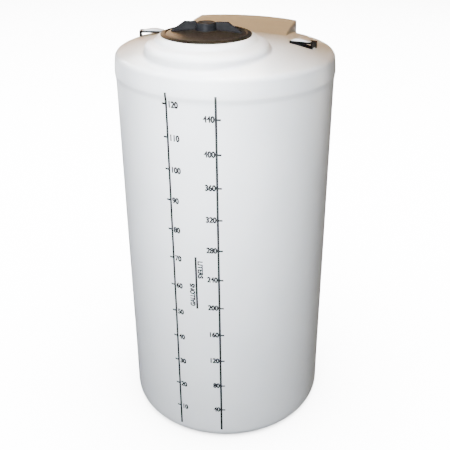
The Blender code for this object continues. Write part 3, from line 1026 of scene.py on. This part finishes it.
def noise_of(material, scale, detail, roughness=0.5):
    """Noise in the object's own metres; the scale is about how many spots there are to a metre."""
    place = material.node_tree.nodes.get("place") or material.node_tree.nodes.new("ShaderNodeTexCoord")
    place.name = "place"
    made = add(material, "ShaderNodeTexNoise", Scale=scale, Detail=detail, Roughness=roughness)
    link(material, place.outputs["Object"], made.inputs["Vector"])
    return made.outputs["Fac"]


def spread(material, source, low, high):
    """A noise's value spread between two ends."""
    made = add(material, "ShaderNodeMapRange", From_Min=0.3, From_Max=0.7, To_Min=low, To_Max=high)
    link(material, source, made.inputs["Value"])
    return made.outputs["Result"]


def tint(material, source, dark, light):
    """A colour between two ends, by a noise's value."""
    ramp = material.node_tree.nodes.new("ShaderNodeValToRGB")
    ramp.color_ramp.elements[0].position = 0.3
    ramp.color_ramp.elements[0].color = (*dark, 1)
    ramp.color_ramp.elements[1].position = 0.7
    ramp.color_ramp.elements[1].color = (*light, 1)
    link(material, source, ramp.inputs["Fac"])
    return ramp.outputs["Color"]


def bump(material, source, distance, strength, under=None):
    """A bump from a value, in metres, over another bump if one is given."""
    made = add(material, "ShaderNodeBump", Strength=strength, Distance=distance)
    link(material, source, made.inputs["Height"])
    if under:
        link(material, under, made.inputs["Normal"])
    return made.outputs["Normal"]


def milky_plastic():
    """Milky polyethylene: faint clouds in the colour, and a fine orange-peel skin over slow waves."""
    made, shader = new_material("milky_plastic", (0.83, 0.84, 0.845), 0.4)
    clouds = noise_of(made, 5.0, 3)
    colour = tint(made, clouds, (0.80, 0.812, 0.82), (0.85, 0.858, 0.86))
    link(made, colour, shader.inputs["Base Color"])
    link(made, spread(made, noise_of(made, 60, 3), 0.36, 0.46), shader.inputs["Roughness"])
    waves = bump(made, noise_of(made, 14, 2), 0.004, 0.25)
    peel = bump(made, noise_of(made, 420, 2), 0.0004, 0.25, waves)
    link(made, peel, shader.inputs["Normal"])
    shader.inputs["Subsurface Weight"].default_value = 0.3
    shader.inputs["Subsurface Radius"].default_value = (1.0, 0.95, 0.85)
    shader.inputs["Subsurface Scale"].default_value = 0.012
    shader.inputs["IOR"].default_value = 1.5
    return made


def black_plastic(name, dark, light, roughness, shine):
    """Black moulded plastic: a fine grain, faint scuffs in its sheen and dust in its colour."""
    made, shader = new_material(name, light, roughness)
    link(made, tint(made, noise_of(made, 38, 4, 0.6), dark, light), shader.inputs["Base Color"])
    scuffs = noise_of(made, 110, 5, 0.65)
    link(made, spread(made, scuffs, roughness - 0.06, roughness + 0.10), shader.inputs["Roughness"])
    grain = bump(made, noise_of(made, 1600, 2), 0.00012, 0.35)
    link(made, grain, shader.inputs["Normal"])
    shader.inputs["Specular IOR Level"].default_value = shine
    return made


def ink():
    """Printed dark grey ink, thin in places."""
    made, shader = new_material("printed_ink", (0.012, 0.0115, 0.012), 0.6)
    shader.inputs["Specular IOR Level"].default_value = 0.25
    thin = noise_of(made, 40, 3, 0.6)
    colour = tint(made, thin, (0.008, 0.0076, 0.008), (0.020, 0.0192, 0.020))
    link(made, colour, shader.inputs["Base Color"])
    link(made, spread(made, noise_of(made, 90, 2), 0.5, 0.7), shader.inputs["Roughness"])
    return made


def pale_floor():
    """The plain pale floor's finish."""
    made, shader = new_material("pale_floor", (0.90, 0.90, 0.90), 0.75)
    shader.inputs["Specular IOR Level"].default_value = 0.2
    return made


def glow(name, strength):
    """A plain white light of its own."""
    made = bpy.data.materials.new(name)
    made.use_nodes = True
    nodes = made.node_tree.nodes
    nodes.remove(nodes["Principled BSDF"])
    light = add(made, "ShaderNodeEmission", Strength=strength)
    link(made, light.outputs["Emission"], nodes["Material Output"].inputs["Surface"])
    return made


def dress(piece, material):
    """Gives a piece one material."""
    piece.data.materials.clear()
    piece.data.materials.append(material)


def white(piece):
    """A piece of the tank in its milky plastic."""
    dress(piece, MATERIALS["milky"])
    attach(piece, "tank")


def ride_lid(piece, material):
    """A piece of the lid."""
    dress(piece, material)
    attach(piece, "lid")


# Floor, lights and camera

FLOOR_HALF = 30
SKY_COLOUR = (0.85, 0.92, 1.0, 1)
SKY_STRENGTH = 0.10
BACKDROP_RADIUS, BACKDROP_HEIGHT, BACKDROP_STEPS = 12, 16, 96
BACKDROP_GLOW = 12

# Each light: its place, target, size, power in watts, colour and the angle of its beam in degrees
LIGHTS = {
    "key": ((0.10, -2.4, 1.52), (0, 0, 1.25), (0.7, 0.7), 74, (0.91, 0.95, 1.0), 126),
    "floor_wash": ((0, 0, 9.0), (0, 0.001, 0), (22, 22), 42000, (1, 1, 1), 180),
    "front_top": ((0.0, -1.0, 3.2), (0, -0.36, 1.34), (0.4, 0.4), 4.5, (0.95, 0.97, 1.0), 18),
    "roof_wash": ((0.0, 0.9, 3.6), (0, 0.10, 1.36), (0.9, 0.9), 50, (1.0, 0.60, 0.24), 180),
    "back_card": ((-2.2, 3.0, 2.3), (0, 0, 1.38), (2.0, 1.0), 36, (1.0, 0.64, 0.34), 180),
    "rear_fill": ((-0.2, 4.0, 0.60), (0, 0, 0.7), (0.9, 1.0), 160, (1.0, 0.97, 0.93), 180),
    "right_fill": ((3.2, 2.0, 0.60), (0, 0, 0.7), (1.0, 1.0), 44, (1.0, 0.90, 0.78), 180),
    "left_fill": ((-3.2, 2.0, 0.60), (0, 0, 0.7), (1.0, 1.0), 40, (0.97, 0.98, 1.0), 180),
}

# The photograph's viewpoint, fitted to the picture: degrees, metres, and pixels of its square
PHOTO_PX = 450
SENSOR_MM = 36
CAMERA = {
    "focal_px": 680.56,
    "centre_px": (247, 203),
    "tilt": 25.92,
    "distance": 2.427,
    "roll": 0.481,
    "aside": 0.073,
    "aim_height": 0.769,
    "round": 14.21,
}


def area_light(name, place, target, size, power, colour, angle):
    """A soft rectangular light that looks at a target; a small angle keeps it to a beam."""
    lamp = bpy.data.lights.new(name, "AREA")
    lamp.shape = "RECTANGLE"
    lamp.size, lamp.size_y = size
    lamp.energy = power
    lamp.color = colour
    lamp.spread = math.radians(angle)
    holder = bpy.data.objects.new(name, lamp)
    bpy.context.scene.collection.objects.link(holder)
    holder.location = place
    holder.rotation_euler = (Vector(target) - Vector(place)).to_track_quat("-Z", "Y").to_euler()
    return holder


def limit_light(holder, pieces, state):
    """Keeps a light to some pieces (INCLUDE), or off them (EXCLUDE)."""
    group = bpy.data.collections.new(holder.name + "_reach")
    for piece in pieces:
        group.objects.link(piece)
    holder.light_linking.receiver_collection = group
    for member in group.collection_objects:
        member.light_linking.link_state = state


def studio(raised):
    """A pale floor and surround, a cool key from the front, a warm light over the roof and behind.
    The raised platform takes only the light from above and behind."""
    half = FLOOR_HALF
    corners = [(-half, -half, 0), (half, -half, 0), (half, half, 0), (-half, half, 0)]
    floor = mesh_object("studio_floor", corners, [(0, 1, 2, 3)])
    floor.data.shade_flat()
    dress(floor, pale_floor())
    floor.visible_diffuse = False
    floor.visible_glossy = False
    world = bpy.data.worlds.new("pale_surround")
    world.use_nodes = True
    sky = world.node_tree.nodes["Background"]
    sky.inputs["Color"].default_value = SKY_COLOUR
    sky.inputs["Strength"].default_value = SKY_STRENGTH
    bpy.context.scene.world = world
    lamps = {name: area_light(name, *values) for name, values in LIGHTS.items()}
    limit_light(lamps["key"], [raised], "EXCLUDE")
    limit_light(lamps["floor_wash"], [floor], "INCLUDE")
    for name in ("roof_wash", "back_card", "rear_fill"):
        limit_light(lamps[name], [floor], "EXCLUDE")
    for name in ("front_top", "right_fill", "left_fill"):
        limit_light(lamps[name], [floor, raised], "EXCLUDE")


def backdrop():
    """A pale round wall far behind everything, which only the camera sees."""
    points, faces = [], []
    for i in range(BACKDROP_STEPS):
        foot = heading(2 * math.pi * i / BACKDROP_STEPS) * BACKDROP_RADIUS
        points += [foot, foot + up(BACKDROP_HEIGHT)]
        j = (i + 1) % BACKDROP_STEPS
        faces.append((2 * i, 2 * j, 2 * j + 1, 2 * i + 1))
    wall = mesh_object("studio_backdrop", points, faces)
    dress(wall, glow("pale_backdrop", BACKDROP_GLOW))
    wall.visible_diffuse = wall.visible_glossy = False
    wall.visible_shadow = wall.visible_transmission = False


def camera():
    """The camera at the photograph's viewpoint."""
    lens = bpy.data.cameras.new("camera")
    lens.sensor_width = SENSOR_MM
    lens.lens = CAMERA["focal_px"] * SENSOR_MM / PHOTO_PX
    lens.shift_x = (PHOTO_PX / 2 - CAMERA["centre_px"][0]) / PHOTO_PX
    lens.shift_y = (CAMERA["centre_px"][1] - PHOTO_PX / 2) / PHOTO_PX
    lens.clip_start, lens.clip_end = 0.05, 100
    holder = bpy.data.objects.new("camera", lens)
    bpy.context.scene.collection.objects.link(holder)
    tilt = math.radians(CAMERA["tilt"])
    back = -CAMERA["distance"] * math.cos(tilt)
    height = CAMERA["aim_height"] + CAMERA["distance"] * math.sin(tilt)
    place = Matrix.Translation(Vector((CAMERA["aside"], back, height)))
    around = Matrix.Rotation(math.radians(CAMERA["round"]), 4, "Z")
    down = Matrix.Rotation(math.radians(90) - tilt, 4, "X")
    roll = Matrix.Rotation(math.radians(CAMERA["roll"]), 4, "Z")
    holder.matrix_world = around @ place @ (down @ roll)
    bpy.context.scene.camera = holder


MATERIALS = {
    "milky": milky_plastic(),
    "lid": black_plastic("lid_black", (0.0055, 0.0040, 0.0030), (0.0100, 0.0073, 0.0054), 0.33, 0.34),
    # The lid's edge: the lid's black plastic made darker still, which is painted shade on the rim.
    "rim": black_plastic("lid_edge_black_painted_shade", (0.0015, 0.0013, 0.0012), (0.0035, 0.0030, 0.0027), 0.36, 0.15),
    "cap": black_plastic("cap_black", (0.0085, 0.0088, 0.0098), (0.0145, 0.0150, 0.0165), 0.36, 0.04),
    "grip": black_plastic("grip_black", (0.0100, 0.0101, 0.0106), (0.0170, 0.0172, 0.0180), 0.42, 0.015),
    # The lug's lip: black trim at the slot's mouth, and past it a black lining that is painted shade
    # inside the slot.
    "lip": black_plastic("lug_black", (0.0020, 0.0018, 0.0016), (0.0040, 0.0036, 0.0033), 0.45, 0.05),
    "ink": ink(),
}

shell()
RAISED = platform()
for end in ("left", "right"):
    hood(end)
    lip(end)
crowned_lid()
lid_rim()
vent_cap()
grip("left", math.pi)
grip("right", 0)
scale()
studio(RAISED)
backdrop()
camera()
